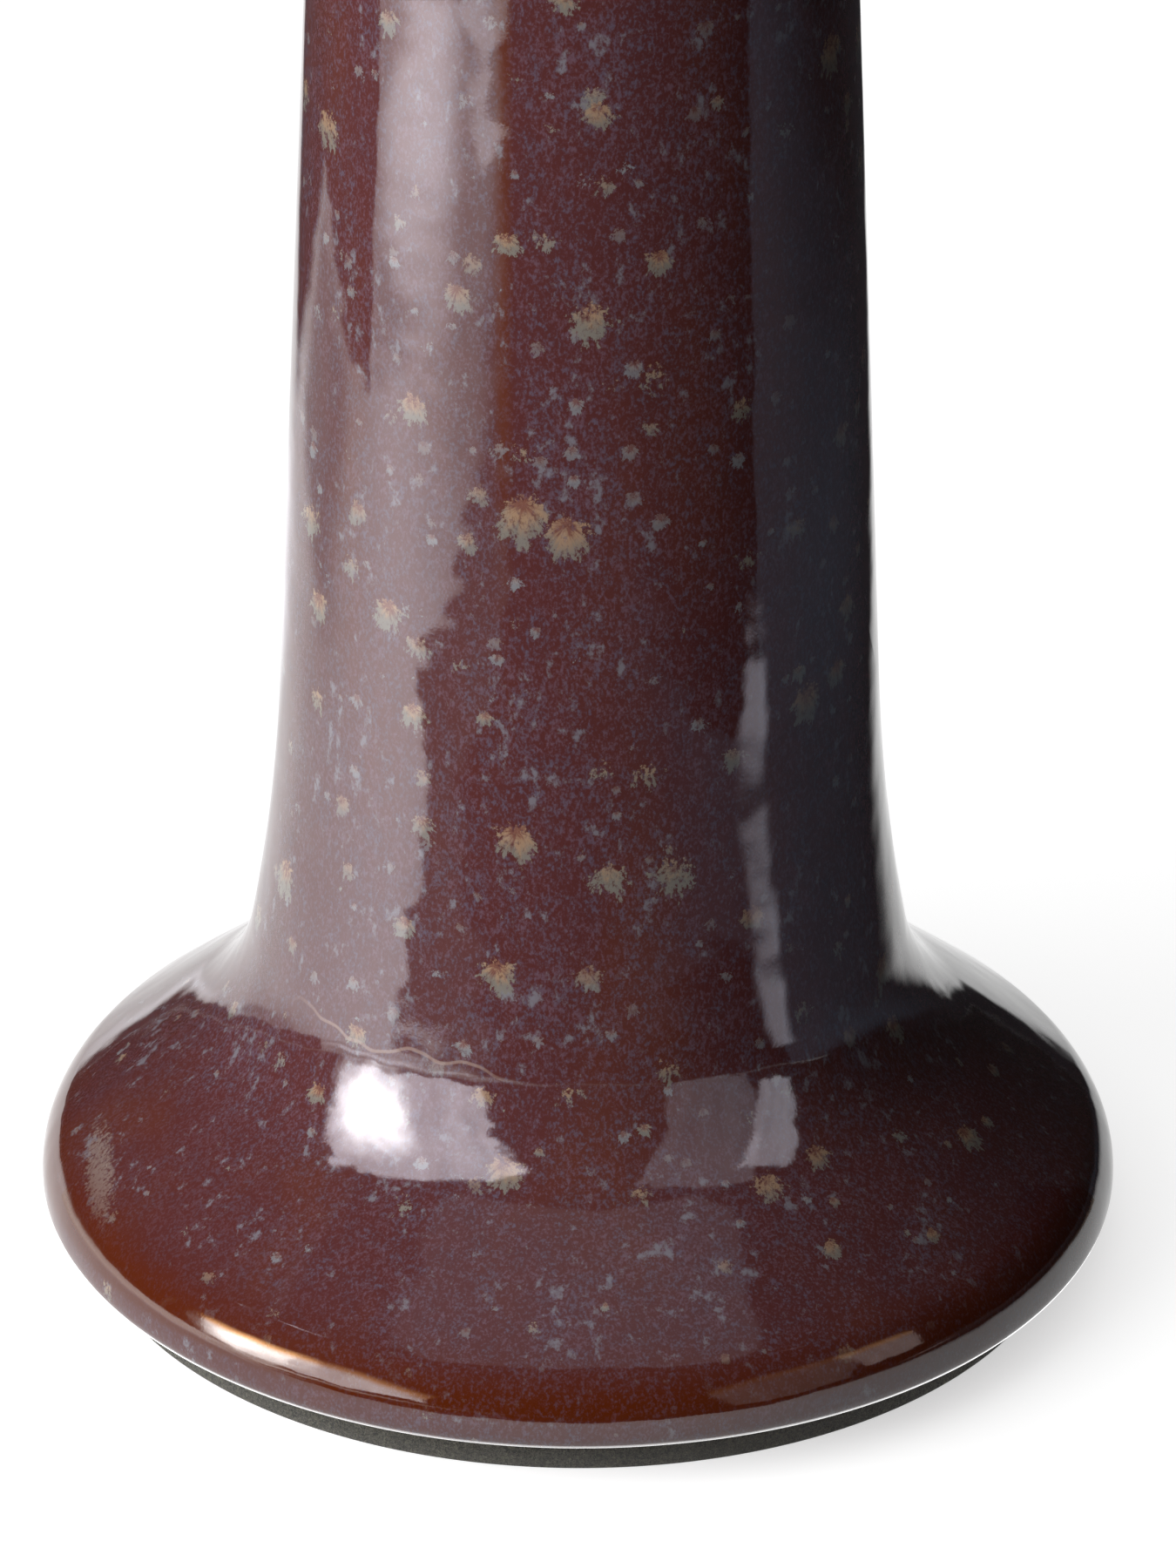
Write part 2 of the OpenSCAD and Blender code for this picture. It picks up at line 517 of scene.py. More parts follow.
def spots(cell, smallest, largest, share, seed):
    shifted = node(tree, "ShaderNodeVectorMath", {"operation": "ADD"}, {1: (seed, seed, seed)},
                   {0: in_mm}).outputs["Vector"]
    cells = node(tree, "ShaderNodeTexVoronoi", {"feature": "F1"},
                 {"Scale": 1 / cell, "Randomness": 0.85}, {"Vector": shifted})
    chances = node(tree, "ShaderNodeSeparateColor", links={0: cells.outputs["Color"]})
    step = node(tree, "ShaderNodeVectorMath", {"operation": "SUBTRACT"},
                links={0: shifted, 1: cells.outputs["Position"]}).outputs["Vector"]
    length = node(tree, "ShaderNodeVectorMath", {"operation": "LENGTH"},
                  links={0: step}).outputs["Value"]
    # Which cells hold a spot, and its radius: most of them are small
    holds = node(tree, "ShaderNodeMath", {"operation": "LESS_THAN"}, {1: share},
                 {0: chances.outputs["Red"]}).outputs[0]
    small = node(tree, "ShaderNodeMath", {"operation": "POWER"}, {1: 1.6},
                 {0: chances.outputs["Green"]}).outputs[0]
    size = node(tree, "ShaderNodeMapRange", {}, {"To Min": smallest, "To Max": largest},
                {"Value": small}).outputs[0]
    size_here = node(tree, "ShaderNodeMath", {"operation": "MULTIPLY"},
                     links={0: size, 1: on_stem}).outputs[0]
    held_size = node(tree, "ShaderNodeMath", {"operation": "MULTIPLY"},
                     links={0: holds, 1: size_here}).outputs[0]
    reach = node(tree, "ShaderNodeMath", {"operation": "MAXIMUM"}, {1: 0.001},
                 {0: held_size}).outputs[0]
    # 0 in the middle of the spot, 1 on a plain round edge
    plain_out = node(tree, "ShaderNodeMath", {"operation": "DIVIDE"},
                     links={0: length, 1: reach}).outputs[0]
    # The fan starts uphill of the middle, by this share of the radius
    rise = node(tree, "ShaderNodeMath", {"operation": "MULTIPLY"}, {1: fan_rise},
                {0: reach}).outputs[0]
    drop = node(tree, "ShaderNodeVectorMath", {"operation": "SCALE"},
                links={0: downhill, "Scale": rise}).outputs["Vector"]
    fan = node(tree, "ShaderNodeVectorMath", {"operation": "ADD"},
               links={0: step, 1: drop}).outputs["Vector"]
    fan_length = node(tree, "ShaderNodeVectorMath", {"operation": "LENGTH"},
                      links={0: fan}).outputs["Value"]
    fan_out = node(tree, "ShaderNodeMath", {"operation": "DIVIDE"},
                   links={0: fan_length, 1: reach}).outputs[0]
    direction = node(tree, "ShaderNodeVectorMath", {"operation": "NORMALIZE"},
                     links={0: fan}).outputs["Vector"]
    own = node(tree, "ShaderNodeVectorMath", {"operation": "SCALE"}, {"Scale": cell_spacing},
               {0: cells.outputs["Color"]}).outputs["Vector"]
    ray_place = node(tree, "ShaderNodeVectorMath", {"operation": "MULTIPLY_ADD"},
                     {1: (ray_count, ray_count, ray_count)},
                     {0: direction, 2: own}).outputs["Vector"]
    rays = node(tree, "ShaderNodeTexNoise", {},
                {"Scale": 1, "Detail": 4, "Roughness": 0.7}, {"Vector": ray_place}).outputs["Fac"]
    # The edge: pushed by the rays where the fan is long, and by the grain everywhere
    ray_size = node(tree, "ShaderNodeMapRange", {},
                    {"From Min": 0.5, "From Max": 1.5, "To Min": 0.5, "To Max": 2.6},
                    {"Value": fan_out}).outputs[0]
    ray_push = node(tree, "ShaderNodeMath", {"operation": "SUBTRACT"}, {1: ray_middle},
                    {0: rays}).outputs[0]
    grain_push = node(tree, "ShaderNodeMath", {"operation": "MULTIPLY_ADD"},
                      {1: grain_tears, 2: -grain_tears / 2}, {0: spot_grain}).outputs[0]
    edge = node(tree, "ShaderNodeMath", {"operation": "MULTIPLY_ADD"},
                links={0: ray_push, 1: ray_size, 2: grain_push}).outputs[0]
    out = node(tree, "ShaderNodeMath", {"operation": "SUBTRACT"},
               links={0: plain_out, 1: edge}).outputs[0]
    cover = node(tree, "ShaderNodeMapRange", SMOOTH,
                 {"From Min": 0.92, "From Max": 0.72}, {"Value": out}).outputs[0]
    return cover, fan_out, rays, chances.outputs["Blue"]


# %% [markdown]
# Inside a spot the crystals are cream, they turn grey towards a fringe that the rays streak, and
# the red glass shows again in the heart where the fan starts. Fine cracks run through all of it.
# Three layers of spots lie over each other, from many tiny ones to a few large ones.

# %% The colours inside a spot


def spotted_with(ground, layer, cream, fringe, faintest, strongest):
    cover, fan_out, rays, luck = layer
    fringe_near = node(tree, "ShaderNodeMath", {"operation": "MULTIPLY_ADD"}, {1: 0.5},
                       {0: luck, 2: fan_out}).outputs[0]
    fringe_streak = node(tree, "ShaderNodeMath", {"operation": "MULTIPLY_ADD"}, {1: -2.0},
                         {0: rays, 2: fringe_near}).outputs[0]
    fringe_share = node(tree, "ShaderNodeMapRange", SMOOTH,
                        {"From Min": -0.35, "From Max": 0.5}, {"Value": fringe_streak}).outputs[0]
    crystals = node(tree, "ShaderNodeMix", COLOURS,
                    {6: paint(cream), 7: paint(fringe)}, {0: fringe_share}).outputs[2]
    heart_out = node(tree, "ShaderNodeMath", {"operation": "MULTIPLY_ADD"}, {1: 2.6},
                     {0: rays, 2: fan_out}).outputs[0]
    heart_share = node(tree, "ShaderNodeMapRange", SMOOTH,
                       {"From Min": 2.1, "From Max": 1.45, "To Max": 0.8},
                       {"Value": heart_out}).outputs[0]
    hearted = node(tree, "ShaderNodeMix", COLOURS, {7: paint("#7d4640")},
                   {0: heart_share, 6: crystals}).outputs[2]
    cracks = node(tree, "ShaderNodeMapRange", {},
                  {"From Min": 0.36, "From Max": 0.5, "To Min": 0.35},
                  {"Value": spot_grain}).outputs[0]
    strength = node(tree, "ShaderNodeMapRange", {}, {"To Min": faintest, "To Max": strongest},
                    {"Value": luck}).outputs[0]
    whole = node(tree, "ShaderNodeMath", {"operation": "MULTIPLY"},
                 links={0: cover, 1: strength}).outputs[0]
    share = node(tree, "ShaderNodeMath", {"operation": "MULTIPLY"},
                 links={0: whole, 1: cracks}).outputs[0]
    return node(tree, "ShaderNodeMix", COLOURS,
                links={0: share, 6: ground, 7: hearted}).outputs[2]


# %% Three layers of spots: cell, smallest and largest radius in millimetres, share of cells, seed
tiny_spots = spotted_with(flecked, spots(4.3, 0.5, 1.15, 0.75, 31), "#a09793", "#8e8e93", 0.4, 0.95)
small_spots = spotted_with(tiny_spots, spots(7, 0.8, 1.7, 0.62, 63), "#ac9480", "#8c8882", 0.6, 1)
spotted = spotted_with(small_spots, spots(9.5, 1.5, 2.8, 0.74, 88), "#b39377", "#8b857c", 0.85, 1)

# %% [markdown]
# Two marks belong to this vase alone. Low on the foot the glaze crawled away and healed again in
# a feathery scar, and at the turn of the foot it piled up in a thin cream line. Each comes from
# a distance: the scar's from one place, where the way along the edge counts for little, and the
# line's from one level, which a slow noise moves up and down.

# %% The scar: a long soft ellipse round one place, torn by the grain
scar_middle = (-56.5, -21, 16)
scar_direction = (0.11, -0.98, -0.19)
scar_stretch = 0.94
scar_narrows = 0.17
scar_torn_by = 4.5

scar_step = node(tree, "ShaderNodeVectorMath", {"operation": "SUBTRACT"}, {1: scar_middle},
                 {0: in_mm}).outputs["Vector"]
scar_along = node(tree, "ShaderNodeVectorMath", {"operation": "DOT_PRODUCT"},
                  {1: scar_direction}, {0: scar_step}).outputs["Value"]
along_squared = node(tree, "ShaderNodeMath", {"operation": "MULTIPLY"},
                     links={0: scar_along, 1: scar_along}).outputs[0]
length_squared = node(tree, "ShaderNodeVectorMath", {"operation": "DOT_PRODUCT"},
                      links={0: scar_step, 1: scar_step}).outputs["Value"]
scar_round = node(tree, "ShaderNodeMath", {"operation": "MULTIPLY_ADD"}, {1: -scar_stretch},
                  {0: along_squared, 2: length_squared}).outputs[0]
scar_out = node(tree, "ShaderNodeMath", {"operation": "MULTIPLY"}, {1: scar_narrows},
                {0: scar_round}).outputs[0]
scar_torn = node(tree, "ShaderNodeMath", {"operation": "MULTIPLY_ADD"}, {1: -scar_torn_by},
                 {0: spot_grain, 2: scar_out}).outputs[0]
scar_share = node(tree, "ShaderNodeMapRange", SMOOTH,
                  {"From Min": -1.3, "From Max": -2.3, "To Max": 0.7},
                  {"Value": scar_torn}).outputs[0]
scarred = node(tree, "ShaderNodeMix", COLOURS, {7: paint("#9c8a82")},
               {0: scar_share, 6: spotted}).outputs[2]

# %% The cream line, on the front only
line_height = 39
line_sway = 9
line_wave_size = 12
line_middle_x = -20

line_wander = node(tree, "ShaderNodeTexNoise", {},
                   {"Scale": 1 / line_wave_size, "Detail": 2, "Roughness": 0.5},
                   {"Vector": flat_place}).outputs["Fac"]
line_level = node(tree, "ShaderNodeMath", {"operation": "MULTIPLY_ADD"}, {1: -line_sway},
                  {0: line_wander, 2: level}).outputs[0]
line_off = node(tree, "ShaderNodeMath", {"operation": "SUBTRACT"},
                {1: line_height - line_sway / 2}, {0: line_level}).outputs[0]
line_wide = node(tree, "ShaderNodeMath", {"operation": "ABSOLUTE"}, links={0: line_off}).outputs[0]
line_near = node(tree, "ShaderNodeMapRange", SMOOTH,
                 {"From Min": 0.3, "From Max": 0.1, "To Max": 0.45},
                 {"Value": line_wide}).outputs[0]
line_aside = node(tree, "ShaderNodeMath", {"operation": "SUBTRACT"}, {1: line_middle_x},
                  {0: split_place.outputs["X"]}).outputs[0]
line_reach = node(tree, "ShaderNodeMath", {"operation": "ABSOLUTE"},
                  links={0: line_aside}).outputs[0]
line_ends = node(tree, "ShaderNodeMapRange", SMOOTH,
                 {"From Min": 14, "From Max": 8}, {"Value": line_reach}).outputs[0]
line_front = node(tree, "ShaderNodeMath", {"operation": "MULTIPLY"},
                  links={0: line_ends, 1: run_front}).outputs[0]
line_share = node(tree, "ShaderNodeMath", {"operation": "MULTIPLY"},
                  links={0: line_near, 1: line_front}).outputs[0]
lined = node(tree, "ShaderNodeMix", COLOURS, {7: paint("#bfa597")},
             {0: line_share, 6: scarred}).outputs[2]

# %% [markdown]
# A glaze draws back from every sharp edge while it is molten, so the edge of the foot and the lip
# have the thinnest glass, and the iron in it looks amber there. The height and the distance from
# the axis say where that is, and the haze hides a part of it.

# %% Amber at the edge of the foot and at the lip
haze_hides = 0.7

rim_low = node(tree, "ShaderNodeMapRange", SMOOTH,
               {"From Min": 18, "From Max": 10.5}, {"Value": level}).outputs[0]
rim_out = node(tree, "ShaderNodeMapRange", SMOOTH,
               {"From Min": 54.5, "From Max": 63}, {"Value": radius}).outputs[0]
rim_roll = node(tree, "ShaderNodeMapRange", SMOOTH,
                {"From Min": 8.9, "From Max": 9.9}, {"Value": level}).outputs[0]
rim_edge = node(tree, "ShaderNodeMath", {"operation": "MULTIPLY"},
                links={0: rim_low, 1: rim_out}).outputs[0]
rim_thin = node(tree, "ShaderNodeMath", {"operation": "MULTIPLY"},
                links={0: rim_edge, 1: rim_roll}).outputs[0]
lip_thin = node(tree, "ShaderNodeMapRange", SMOOTH,
                {"From Min": height - 3.5, "From Max": height - 0.5},
                {"Value": level}).outputs[0]
thin = node(tree, "ShaderNodeMath", {"operation": "MAXIMUM"},
            links={0: rim_thin, 1: lip_thin}).outputs[0]
haze_through = node(tree, "ShaderNodeMath", {"operation": "MULTIPLY_ADD"},
                    {1: -haze_hides, 2: 1}, {0: haze_seen}).outputs[0]
amber_share = node(tree, "ShaderNodeMath", {"operation": "MULTIPLY"},
                   links={0: thin, 1: haze_through}).outputs[0]
glaze_colour = node(tree, "ShaderNodeMix", COLOURS, {7: paint("#5f250a")},
                    {0: amber_share, 6: lined}).outputs[2]

# %% [markdown]
# The surface is fired glass: very smooth, with an IOR of 1.55, which is usual for a stoneware
# glaze. It set in soft waves a quarter of a millimetre deep, which bend what it mirrors, and the
# grain of the haze shows on it by a few thousandths of a millimetre.

# %% The surface of the glaze
wave_size = 12
wave_depth = 0.25
grain_depth = 0.003

wave = node(tree, "ShaderNodeTexNoise", {},
            {"Scale": 1 / wave_size, "Detail": 2, "Roughness": 0.4},
            {"Vector": in_mm}).outputs["Fac"]
waved = node(tree, "ShaderNodeBump", {}, {"Strength": 1, "Distance": wave_depth * MM},
             {"Height": wave}).outputs["Normal"]
ripple = node(tree, "ShaderNodeBump", {}, {"Strength": 1, "Distance": grain_depth * MM},
              {"Height": haze_grain, "Normal": waved}).outputs["Normal"]
glass = node(tree, "ShaderNodeBsdfPrincipled", {},
             {"Roughness": 0.05, "IOR": 1.55},
             {"Base Color": glaze_colour, "Normal": ripple})
node(tree, "ShaderNodeOutputMaterial", links={"Surface": glass.outputs[0]})
print("nodes in the glaze:", len(tree.nodes))

# %% [markdown]
# ## Bare clay
# The ring that the vase was fired on carries no glaze, or it would have stuck to the kiln shelf.
# Stoneware clay fires to a dull buff with fine dark grit. The body has both finishes as two
# material slots, and every face says which of them it has.

# %% Bare clay for the underside
grit_size = 0.5
grit_depth = 0.1

clay = empty_material("bare_stoneware_fired")
tree = clay.node_tree
grit = node(tree, "ShaderNodeTexNoise", {}, {"Scale": 1 / grit_size, "Detail": 4},
            {"Vector": place_in_mm(tree)}).outputs["Fac"]
grit_share = node(tree, "ShaderNodeMapRange", {}, {"From Min": 0.35, "From Max": 0.7},
                  {"Value": grit}).outputs[0]
buff = node(tree, "ShaderNodeMix", COLOURS,
            {6: paint("#c2a67c"), 7: paint("#98795a")}, {0: grit_share}).outputs[2]
grit_bump = node(tree, "ShaderNodeBump", {}, {"Strength": 0.5, "Distance": grit_depth * MM},
                 {"Height": grit}).outputs["Normal"]
dull = node(tree, "ShaderNodeBsdfPrincipled", {}, {"Roughness": 0.85, "IOR": 1.5},
            {"Base Color": buff, "Normal": grit_bump})
node(tree, "ShaderNodeOutputMaterial", links={"Surface": dull.outputs[0]})

# %% Give the body both finishes
clay_past_ring = 2

body.data.materials.append(glaze)
body.data.materials.append(clay)
for polygon in body.data.polygons:
    reach_out = math.hypot(polygon.center.x, polygon.center.y) / MM
    below_skirt = polygon.center.z / MM < skirt_level + same_point
    under = below_skirt and reach_out < ring_radius + clay_past_ring
    polygon.material_index = 1 if under else 0
print("clay faces:", sum(polygon.material_index for polygon in body.data.polygons))

# %% [markdown]
# ## The felt
# Dense wool felt, cut with a punch. The weight of the vase presses its edges round, so the disc is a
# cylinder whose two rims get a small bevel.

# %% Felt disc
pressed_edge = 0.45

pick_nothing()
bpy.ops.mesh.primitive_cylinder_add(
    vertices=256, radius=felt_radius * MM, depth=felt_thickness * MM,
    location=(0, 0, felt_thickness * MM / 2), end_fill_type="NGON",
)
felt = bpy.context.object
felt.name = "felt_disc"
bpy.ops.object.transform_apply(location=True, rotation=True, scale=True)
bevel = felt.modifiers.new("pressed_edge", "BEVEL")
bevel.width = pressed_edge * MM
bevel.segments = 4
bevel.limit_method = "ANGLE"
bevel.angle_limit = math.radians(60)
bpy.ops.object.modifier_apply(modifier="pressed_edge")
bpy.ops.object.shade_smooth_by_angle(angle=math.radians(35))
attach(felt, "root")
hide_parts("felt_pad")
print("felt faces:", len(felt.data.polygons))

# %% [markdown]
# Felt has no weave: it is short wool fibres matted together, dark ones and light ones here. A
# distorted noise gives the tangle. A real fibre is 0.03 mm thick, too fine to show from this
# distance, so the pattern is drawn ten times as coarse. A little sheen stands for the fuzz.

# %% Wool felt
fibre_size = 0.3
fibre_depth = 0.25

wool = empty_material("wool_felt_die_cut")
tree = wool.node_tree
fibres = node(tree, "ShaderNodeTexNoise", {},
              {"Scale": 1 / fibre_size, "Detail": 4, "Roughness": 0.7, "Distortion": 1.5},
              {"Vector": place_in_mm(tree)}).outputs["Fac"]
fibre_share = node(tree, "ShaderNodeMapRange", {}, {"From Min": 0.42, "From Max": 0.66},
                   {"Value": fibres}).outputs[0]
wool_colour = node(tree, "ShaderNodeMix", COLOURS,
                   {6: paint("#191916"), 7: paint("#7f7c6b")}, {0: fibre_share}).outputs[2]
fibre_bump = node(tree, "ShaderNodeBump", {}, {"Strength": 1, "Distance": fibre_depth * MM},
                  {"Height": fibres}).outputs["Normal"]
soft = node(tree, "ShaderNodeBsdfPrincipled", {},
            {"Roughness": 1, "IOR": 1.5, "Sheen Weight": 0.15, "Sheen Roughness": 0.5},
            {"Base Color": wool_colour, "Normal": fibre_bump})
node(tree, "ShaderNodeOutputMaterial", links={"Surface": soft.outputs[0]})
felt.data.materials.append(wool)

# %% [markdown]
# ## The adhesive
# A thin acrylic film holds the felt on the ring of bare clay. Its CAD shape is right as it is, so
# it stays, and only gets a better material: half gloss, honey-coloured, smeared thicker and
# thinner.

# %% The adhesive film
smear_size = 2.5

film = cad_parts["pad_adhesive"]
glue = empty_material("acrylic_adhesive_film")
tree = glue.node_tree
smear = node(tree, "ShaderNodeTexNoise", {}, {"Scale": 1 / smear_size, "Detail": 3},
             {"Vector": place_in_mm(tree)}).outputs["Fac"]
glue_colour = node(tree, "ShaderNodeMix", COLOURS,
                   {6: paint("#b6a680"), 7: paint("#8f7f5c")}, {0: smear}).outputs[2]
tack = node(tree, "ShaderNodeBsdfPrincipled", {}, {"Roughness": 0.45, "IOR": 1.47},
            {"Base Color": glue_colour})
node(tree, "ShaderNodeOutputMaterial", links={"Surface": tack.outputs[0]})
film.data.materials.clear()
film.data.materials.append(glue)
print("film level:", round(film_low.z / MM, 2), "to", round(film_high.z / MM, 2), "mm")

# %% [markdown]
# ## The studio
# Glossy glass shows the room, so half of its look is what stands round it. The light itself comes
# from two lamps, and what the glaze mirrors are cards, as a photographer would set them: a tall
# window at the left, a dim one at the right, a panel overhead, pools of window light on the floor
# and dark screens everywhere else. The floor and the world glow by themselves, but only where
# the eye meets them or a mirror or clear glass shows them, so they light next to nothing.

# %% Colour settings
bpy.context.scene.view_settings.view_transform = "Standard"

# %% What tells the eye, a mirror or clear glass from a ray that lights things


def where_shown(tree):
    path = node(tree, "ShaderNodeLightPath")
    seen_or_mirrored = node(tree, "ShaderNodeMath", {"operation": "ADD"},
                            links={0: path.outputs["Is Camera Ray"],
                                   1: path.outputs["Is Glossy Ray"]}).outputs[0]
    return node(tree, "ShaderNodeMath", {"operation": "ADD", "use_clamp": True},
                links={0: seen_or_mirrored, 1: path.outputs["Is Transmission Ray"]}).outputs[0]


# %% [markdown]
# The floor is white paper. Its glow carries painted shade and painted light: it is weaker where
# little open sky is above it, as it is close to the foot, and a bit stronger on the side that the
# key light comes from, the front left.

# %% The floor
floor_width = 12000

pick_nothing()
bpy.ops.mesh.primitive_plane_add(size=floor_width * MM, location=(0, 0, 0))
floor = bpy.context.object
floor.name = "studio_floor"

# %% White paper
sky_reach = 220
sky_share = 0.5
least_glow = 0.48
key_direction = (-0.81, -0.59, 0)
painted_key_light_share = 0.3

paper = empty_material("studio_white_paper")
tree = paper.node_tree
# Painted shade: the glow dims where the ambient occlusion finds the foot close by
open_sky = node(tree, "ShaderNodeAmbientOcclusion", {"samples": 8}, {"Distance": sky_reach * MM})
glow_with_painted_shade = node(tree, "ShaderNodeMath", {"operation": "MULTIPLY_ADD"},
                  {1: sky_share, 2: least_glow}, {0: open_sky.outputs["AO"]}).outputs[0]
floor_place = node(tree, "ShaderNodeNewGeometry").outputs["Position"]
# Painted light: the glow is raised on the side the key light comes from
towards_key = node(tree, "ShaderNodeVectorMath", {"operation": "DOT_PRODUCT"},
                   {1: key_direction}, {0: floor_place}).outputs["Value"]
painted_key_light = node(tree, "ShaderNodeMapRange", SMOOTH,
                {"From Min": -10 * MM, "From Max": 60 * MM, "To Max": painted_key_light_share},
                {"Value": towards_key}).outputs[0]
glow_sum = node(tree, "ShaderNodeMath", {"operation": "ADD"},
                links={0: glow_with_painted_shade, 1: painted_key_light}).outputs[0]
glow_shown = node(tree, "ShaderNodeMath", {"operation": "MULTIPLY"},
                  links={0: glow_sum, 1: where_shown(tree)}).outputs[0]
matt = node(tree, "ShaderNodeBsdfDiffuse", values={"Color": paint("#a0a0a0")})
glow = node(tree, "ShaderNodeEmission", values={"Color": paint("#ffffff")},
            links={"Strength": glow_shown})
both = node(tree, "ShaderNodeAddShader", links={0: matt.outputs[0], 1: glow.outputs[0]})
node(tree, "ShaderNodeOutputMaterial", links={"Surface": both.outputs[0]})
floor.data.materials.append(paper)

# %% The world: white where it is shown, and nearly nothing as a light
world_light = 0.012

world = bpy.data.worlds.new("studio_world")
bpy.context.scene.world = world
world.use_nodes = True
world.node_tree.nodes.clear()
tree = world.node_tree
world_level = node(tree, "ShaderNodeMapRange", {}, {"To Min": world_light, "To Max": 1},
                   {"Value": where_shown(tree)}).outputs[0]
sky = node(tree, "ShaderNodeBackground", values={"Color": paint("#ffffff")},
           links={"Strength": world_level})
node(tree, "ShaderNodeOutputWorld", links={"Surface": sky.outputs[0]})

# %% [markdown]
# ## Cards that only reflections see
# Each card glows evenly. Its own UV map says how near to an edge a place is, and there the card
# fades over a share of its width, its feather. Where torn is more than 0, a noise moves the UV
# places by that share, so that the edges wander and the light falls in streaks, as the waves of
# the glaze break up a window. A card either hides what is behind it or, when it is added, lets
# that through and adds its own light.

# %% The material of a card
least_feather = 0.001
tear_scale = 5
streak_scale = (7, 1.2, 0)


def card_material(name, colour, strength, feather=(0, 0), added=False, torn=0):
    card_finish = empty_material(name)
    tree = card_finish.node_tree
    uv = node(tree, "ShaderNodeTexCoord").outputs["UV"]
    ragged = node(tree, "ShaderNodeTexNoise", {},
                  {"Scale": tear_scale, "Detail": 3, "Roughness": 0.6},
                  {"Vector": uv}).outputs["Color"]
    wander = node(tree, "ShaderNodeVectorMath", {"operation": "SUBTRACT"}, {1: (0.5, 0.5, 0.5)},
                  {0: ragged}).outputs["Vector"]
    torn_uv = node(tree, "ShaderNodeVectorMath", {"operation": "MULTIPLY_ADD"},
                   {1: (torn, torn, 0)}, {0: wander, 2: uv}).outputs["Vector"]
    halves = node(tree, "ShaderNodeSeparateXYZ", links={0: torn_uv})
    covers = []
    for axis, fade in zip("XY", feather):
        off = node(tree, "ShaderNodeMath", {"operation": "SUBTRACT"}, {1: 0.5},
                   {0: halves.outputs[axis]}).outputs[0]
        size = node(tree, "ShaderNodeMath", {"operation": "ABSOLUTE"}, links={0: off}).outputs[0]
        covers.append(node(tree, "ShaderNodeMapRange", SMOOTH,
                           {"From Min": 0.5, "From Max": 0.5 - max(fade, least_feather)},
                           {"Value": size}).outputs[0])
    cover = node(tree, "ShaderNodeMath", {"operation": "MULTIPLY"},
                 links={0: covers[0], 1: covers[1]}).outputs[0]
    clear = node(tree, "ShaderNodeBsdfTransparent").outputs[0]
    glow = node(tree, "ShaderNodeEmission", values={"Color": paint(colour), "Strength": strength})
    if added:
        # Streaks run down the card, and are even where torn is 0
        streak_place = node(tree, "ShaderNodeVectorMath", {"operation": "MULTIPLY"},
                            {1: streak_scale}, {0: torn_uv}).outputs["Vector"]
        streak_noise = node(tree, "ShaderNodeTexNoise", {}, {"Scale": 1, "Detail": 3},
                            {"Vector": streak_place}).outputs["Fac"]
        streaks = node(tree, "ShaderNodeMapRange", {},
                       {"From Min": 0.3, "From Max": 0.7, "To Min": 1 - torn, "To Max": 1 + torn},
                       {"Value": streak_noise}).outputs[0]
        streaked = node(tree, "ShaderNodeMath", {"operation": "MULTIPLY"},
                        links={0: cover, 1: streaks}).outputs[0]
        power = node(tree, "ShaderNodeMath", {"operation": "MULTIPLY"}, {1: strength},
                     {0: streaked}).outputs[0]
        tree.links.new(power, glow.inputs["Strength"])
        mixed = node(tree, "ShaderNodeAddShader", links={0: clear, 1: glow.outputs[0]})
    else:
        mixed = node(tree, "ShaderNodeMixShader",
                     links={0: cover, 1: clear, 2: glow.outputs[0]})
    node(tree, "ShaderNodeOutputMaterial", links={"Surface": mixed.outputs[0]})
    return card_finish


# %% Cards on the floor, cards that stand, and where a thing stands round the vase


def only_in_reflections(card):
    card.visible_camera = False
    card.visible_diffuse = False
    card.visible_transmission = False
    card.visible_volume_scatter = False
    card.visible_shadow = False


def round_the_vase(azimuth, rise, away):
    turned = math.radians(azimuth)
    lifted = math.radians(rise)
    return Vector((
        math.sin(turned) * math.cos(lifted),
        -math.cos(turned) * math.cos(lifted),
        math.sin(lifted),
    )) * away * MM


def floor_card(name, centre, size, turn, lift, colour, strength, feather=(0, 0), added=False):
    pick_nothing()
    bpy.ops.mesh.primitive_plane_add(
        size=1, location=(centre[0] * MM, centre[1] * MM, lift * MM),
        rotation=(0, 0, math.radians(turn)),
    )
    card = bpy.context.object
    card.name = name
    card.scale = (size[0] * MM, size[1] * MM, 1)
    card.data.materials.append(card_material(name, colour, strength, feather, added))
    only_in_reflections(card)


def standing_card(name, azimuth, rise, away, size, colour, strength, feather, torn):
    centre = round_the_vase(azimuth, rise, away)
    pick_nothing()
    bpy.ops.mesh.primitive_plane_add(size=1, location=centre)
    card = bpy.context.object
    card.name = name
    card.rotation_euler = centre.to_track_quat("Z", "Y").to_euler()
    card.scale = (size[0] * MM, size[1] * MM, 1)
    card.data.materials.append(card_material(name, colour, strength, feather, True, torn))
    only_in_reflections(card)


# %% The dark room, all round above the floor
room_radius = 4000
room_glow = 0.02

pick_nothing()
bpy.ops.mesh.primitive_uv_sphere_add(segments=48, ring_count=24, radius=room_radius * MM)
room = bpy.context.object
room.name = "studio_dark_room"
room.data.materials.append(card_material("studio_dark_room", "#ffffff", room_glow))
only_in_reflections(room)

# %% [markdown]
# The domed foot mirrors the floor, and the broad light at its left is the floor where the window
# lights it. So the first cards are pools of light: a main one, a soft core and the ends where it
# fades. Centres and sizes are in millimetres, and a fraction of a millimetre of lift keeps the
# cards apart.

